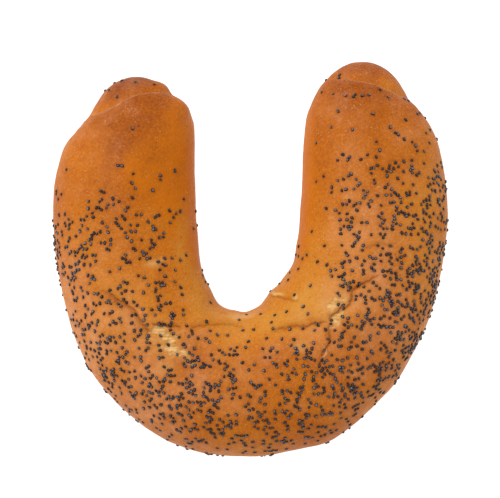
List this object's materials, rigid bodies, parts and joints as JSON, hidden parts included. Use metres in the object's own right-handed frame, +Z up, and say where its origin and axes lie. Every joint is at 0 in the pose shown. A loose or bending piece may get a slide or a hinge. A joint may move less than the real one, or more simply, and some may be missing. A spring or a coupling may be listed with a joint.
{
  "type": "horseshoe poppy-seed roll",
  "caption": "U-shaped bread roll with a glazed golden-brown crust, a rounded lobe at each tip and poppy seeds over its top; it lies flat on its base.",
  "frame": {"origin": "middle of the roll's box in plan, on the surface that its flat base rests on", "axes": "+Z up, +Y the way the two arms point, +X to the right with the bend nearest the viewer"},
  "size_m": [0.123, 0.1236, 0.0341],
  "materials": {
    "crust": "satin",
    "poppy_seed": "satin"
  },
  "bodies": {
    "root": {"roll": "crust"}
  },
  "joints": []
}
